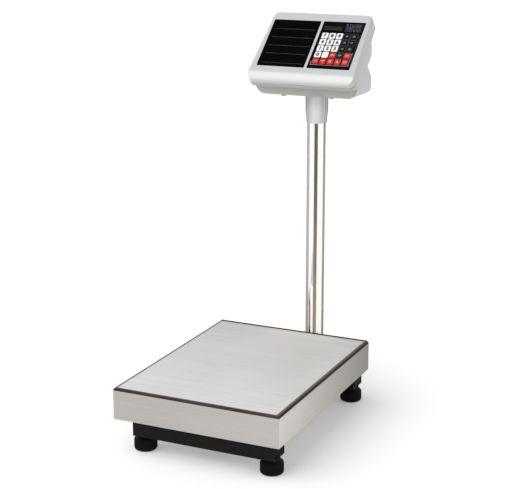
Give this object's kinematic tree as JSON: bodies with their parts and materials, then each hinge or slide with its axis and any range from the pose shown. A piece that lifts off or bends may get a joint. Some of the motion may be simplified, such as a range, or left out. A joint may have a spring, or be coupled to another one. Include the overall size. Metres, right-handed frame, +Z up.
{
  "type": "label printing scale",
  "caption": "Platform scale with a stainless pan, a rear column and a sloping head that holds a display, a keypad and a label printer.",
  "frame": {"origin": "bottom centre of the whole object, on the floor under it", "axes": "+Z up, -Y towards the operator's side, +X to the operator's right"},
  "size_m": [0.3, 0.5372, 0.6876],
  "materials": {
    "frame_paint": "satin black powder coat",
    "load_frame_paint": "grey primer",
    "zinc_steel": "zinc plated",
    "cell_aluminium": "machined",
    "pan_steel": "fine brushed stainless",
    "trim_black": "satin black",
    "rubber_black": "moulded rubber",
    "tube_steel": "polished stainless",
    "cable_black": "cable jacket",
    "collar_grey": "fine grained",
    "shell_white": "fine grained off-white",
    "window_black": "gloss black acrylic",
    "panel_black": "semi-gloss overlay",
    "board_green": "solder mask",
    "battery_wrap": "shrink wrap",
    "socket_black": "moulded black",
    "chassis_paint": "dark grey",
    "label_paper": "thermal label paper",
    "key_white": "printed overlay",
    "key_black": "printed overlay",
    "key_blue": "printed overlay",
    "key_green": "printed overlay",
    "key_red": "printed overlay"
  },
  "bodies": {
    "base": {"front_crossbar": "frame_paint", "rear_crossbar": "frame_paint", "spine_beam": "frame_paint", "base_fasteners": "zinc_steel", "load_cell": "cell_aluminium", "load_frame_spine": "load_frame_paint", "load_frame_rails": "load_frame_paint", "pan_pads": "rubber_black", "overload_stops": "zinc_steel", "column_bracket": "frame_paint", "column_screws": "zinc_steel", "column_tube": "tube_steel", "signal_cable": "cable_black"},
    "pan": {"pan": "pan_steel", "pan_trim": "trim_black"},
    "head": {"head_collar": "collar_grey", "front_shell": "shell_white", "rear_shell": "shell_white", "head_screws": "zinc_steel", "display_window": "window_black", "display_board": "board_green", "keypad_panel": "panel_black", "main_board": "board_green", "battery": "battery_wrap", "power_socket": "socket_black", "inlet_pins": "zinc_steel", "printer_chassis": "chassis_paint"},
    "power_switch": {"power_switch": "socket_black"},
    "printer_door": {"printer_door": "shell_white"},
    "platen_roller": {"platen_roller": "rubber_black"},
    "label_roll": {"label_roll": "label_paper"},
    "foot_front_left": {"foot_front_left": "rubber_black"},
    "foot_front_right": {"foot_front_right": "rubber_black"},
    "foot_rear_left": {"foot_rear_left": "rubber_black"},
    "foot_rear_right": {"foot_rear_right": "rubber_black"},
    "key_7": {"key_7": "key_white"},
    "key_8": {"key_8": "key_white"},
    "key_9": {"key_9": "key_white"},
    "key_item": {"key_item": "key_black"},
    "key_price": {"key_price": "key_black"},
    "key_4": {"key_4": "key_white"},
    "key_5": {"key_5": "key_white"},
    "key_6": {"key_6": "key_white"},
    "key_date": {"key_date": "key_black"},
    "key_unit": {"key_unit": "key_black"},
    "key_1": {"key_1": "key_white"},
    "key_2": {"key_2": "key_white"},
    "key_3": {"key_3": "key_white"},
    "key_memory": {"key_memory": "key_black"},
    "key_code": {"key_code": "key_blue"},
    "key_0": {"key_0": "key_white"},
    "key_dot": {"key_dot": "key_white"},
    "key_clear": {"key_clear": "key_red"},
    "key_add": {"key_add": "key_green"},
    "key_total": {"key_total": "key_red"},
    "key_zero": {"key_zero": "key_red"},
    "key_tare": {"key_tare": "key_red"},
    "key_hold": {"key_hold": "key_red"},
    "key_feed": {"key_feed": "key_red"},
    "key_print": {"key_print": "key_red"}
  },
  "joints": [
    {"name": "pan_lift", "type": "slide", "parent": "base", "child": "pan", "axis": [0, 0, 1], "range_m": [0, 0.06]},
    {"name": "head_swivel", "type": "hinge", "parent": "base", "child": "head", "pos_m": [0.005, 0.22388, 0.541], "axis": [0, 0, 1], "range_deg": [-60, 60]},
    {"name": "switch_rock", "type": "hinge", "parent": "head", "child": "power_switch", "pos_m": [-0.052, 0.2327, 0.58511], "axis": [1, 0, 0], "range_deg": [0, 16]},
    {"name": "door_swing", "type": "hinge", "parent": "head", "child": "printer_door", "pos_m": [0.061, 0.24682, 0.57361], "axis": [-1, 0, 0], "range_deg": [0, 100]},
    {"name": "platen_spin", "type": "hinge", "parent": "printer_door", "child": "platen_roller", "pos_m": [0.061, 0.22014, 0.59129], "axis": [1, 0, 0], "continuous": true},
    {"name": "roll_spin", "type": "hinge", "parent": "head", "child": "label_roll", "pos_m": [0.061, 0.21821, 0.56533], "axis": [1, 0, 0], "continuous": true},
    {"name": "front_left_screw", "type": "slide", "parent": "base", "child": "foot_front_left", "axis": [0, 0, -1], "range_m": [0, 0.012]},
    {"name": "front_right_screw", "type": "slide", "parent": "base", "child": "foot_front_right", "axis": [0, 0, -1], "range_m": [0, 0.012]},
    {"name": "rear_left_screw", "type": "slide", "parent": "base", "child": "foot_rear_left", "axis": [0, 0, -1], "range_m": [0, 0.012]},
    {"name": "rear_right_screw", "type": "slide", "parent": "base", "child": "foot_rear_right", "axis": [0, 0, -1], "range_m": [0, 0.012]},
    {"name": "key_7_press", "type": "slide", "parent": "head", "child": "key_7", "axis": [0, 0.6691, -0.7431], "range_m": [0, 0.0006], "stiffness_N_per_m": 300, "springref_m": -0.002},
    {"name": "key_8_press", "type": "slide", "parent": "head", "child": "key_8", "axis": [0, 0.6691, -0.7431], "range_m": [0, 0.0006], "stiffness_N_per_m": 300, "springref_m": -0.002},
    {"name": "key_9_press", "type": "slide", "parent": "head", "child": "key_9", "axis": [0, 0.6691, -0.7431], "range_m": [0, 0.0006], "stiffness_N_per_m": 300, "springref_m": -0.002},
    {"name": "key_item_press", "type": "slide", "parent": "head", "child": "key_item", "axis": [0, 0.6691, -0.7431], "range_m": [0, 0.0006], "stiffness_N_per_m": 300, "springref_m": -0.002},
    {"name": "key_price_press", "type": "slide", "parent": "head", "child": "key_price", "axis": [0, 0.6691, -0.7431], "range_m": [0, 0.0006], "stiffness_N_per_m": 300, "springref_m": -0.002},
    {"name": "key_4_press", "type": "slide", "parent": "head", "child": "key_4", "axis": [0, 0.6691, -0.7431], "range_m": [0, 0.0006], "stiffness_N_per_m": 300, "springref_m": -0.002},
    {"name": "key_5_press", "type": "slide", "parent": "head", "child": "key_5", "axis": [0, 0.6691, -0.7431], "range_m": [0, 0.0006], "stiffness_N_per_m": 300, "springref_m": -0.002},
    {"name": "key_6_press", "type": "slide", "parent": "head", "child": "key_6", "axis": [0, 0.6691, -0.7431], "range_m": [0, 0.0006], "stiffness_N_per_m": 300, "springref_m": -0.002},
    {"name": "key_date_press", "type": "slide", "parent": "head", "child": "key_date", "axis": [0, 0.6691, -0.7431], "range_m": [0, 0.0006], "stiffness_N_per_m": 300, "springref_m": -0.002},
    {"name": "key_unit_press", "type": "slide", "parent": "head", "child": "key_unit", "axis": [0, 0.6691, -0.7431], "range_m": [0, 0.0006], "stiffness_N_per_m": 300, "springref_m": -0.002},
    {"name": "key_1_press", "type": "slide", "parent": "head", "child": "key_1", "axis": [0, 0.6691, -0.7431], "range_m": [0, 0.0006], "stiffness_N_per_m": 300, "springref_m": -0.002},
    {"name": "key_2_press", "type": "slide", "parent": "head", "child": "key_2", "axis": [0, 0.6691, -0.7431], "range_m": [0, 0.0006], "stiffness_N_per_m": 300, "springref_m": -0.002},
    {"name": "key_3_press", "type": "slide", "parent": "head", "child": "key_3", "axis": [0, 0.6691, -0.7431], "range_m": [0, 0.0006], "stiffness_N_per_m": 300, "springref_m": -0.002},
    {"name": "key_memory_press", "type": "slide", "parent": "head", "child": "key_memory", "axis": [0, 0.6691, -0.7431], "range_m": [0, 0.0006], "stiffness_N_per_m": 300, "springref_m": -0.002},
    {"name": "key_code_press", "type": "slide", "parent": "head", "child": "key_code", "axis": [0, 0.6691, -0.7431], "range_m": [0, 0.0006], "stiffness_N_per_m": 300, "springref_m": -0.002},
    {"name": "key_0_press", "type": "slide", "parent": "head", "child": "key_0", "axis": [0, 0.6691, -0.7431], "range_m": [0, 0.0006], "stiffness_N_per_m": 300, "springref_m": -0.002},
    {"name": "key_dot_press", "type": "slide", "parent": "head", "child": "key_dot", "axis": [0, 0.6691, -0.7431], "range_m": [0, 0.0006], "stiffness_N_per_m": 300, "springref_m": -0.002},
    {"name": "key_clear_press", "type": "slide", "parent": "head", "child": "key_clear", "axis": [0, 0.6691, -0.7431], "range_m": [0, 0.0006], "stiffness_N_per_m": 300, "springref_m": -0.002},
    {"name": "key_add_press", "type": "slide", "parent": "head", "child": "key_add", "axis": [0, 0.6691, -0.7431], "range_m": [0, 0.0006], "stiffness_N_per_m": 300, "springref_m": -0.002},
    {"name": "key_total_press", "type": "slide", "parent": "head", "child": "key_total", "axis": [0, 0.6691, -0.7431], "range_m": [0, 0.0006], "stiffness_N_per_m": 300, "springref_m": -0.002},
    {"name": "key_zero_press", "type": "slide", "parent": "head", "child": "key_zero", "axis": [0, 0.6691, -0.7431], "range_m": [0, 0.0006], "stiffness_N_per_m": 300, "springref_m": -0.002},
    {"name": "key_tare_press", "type": "slide", "parent": "head", "child": "key_tare", "axis": [0, 0.6691, -0.7431], "range_m": [0, 0.0006], "stiffness_N_per_m": 300, "springref_m": -0.002},
    {"name": "key_hold_press", "type": "slide", "parent": "head", "child": "key_hold", "axis": [0, 0.6691, -0.7431], "range_m": [0, 0.0006], "stiffness_N_per_m": 300, "springref_m": -0.002},
    {"name": "key_feed_press", "type": "slide", "parent": "head", "child": "key_feed", "axis": [0, 0.6691, -0.7431], "range_m": [0, 0.0006], "stiffness_N_per_m": 300, "springref_m": -0.002},
    {"name": "key_print_press", "type": "slide", "parent": "head", "child": "key_print", "axis": [0, 0.6691, -0.7431], "range_m": [0, 0.0006], "stiffness_N_per_m": 300, "springref_m": -0.002}
  ]
}
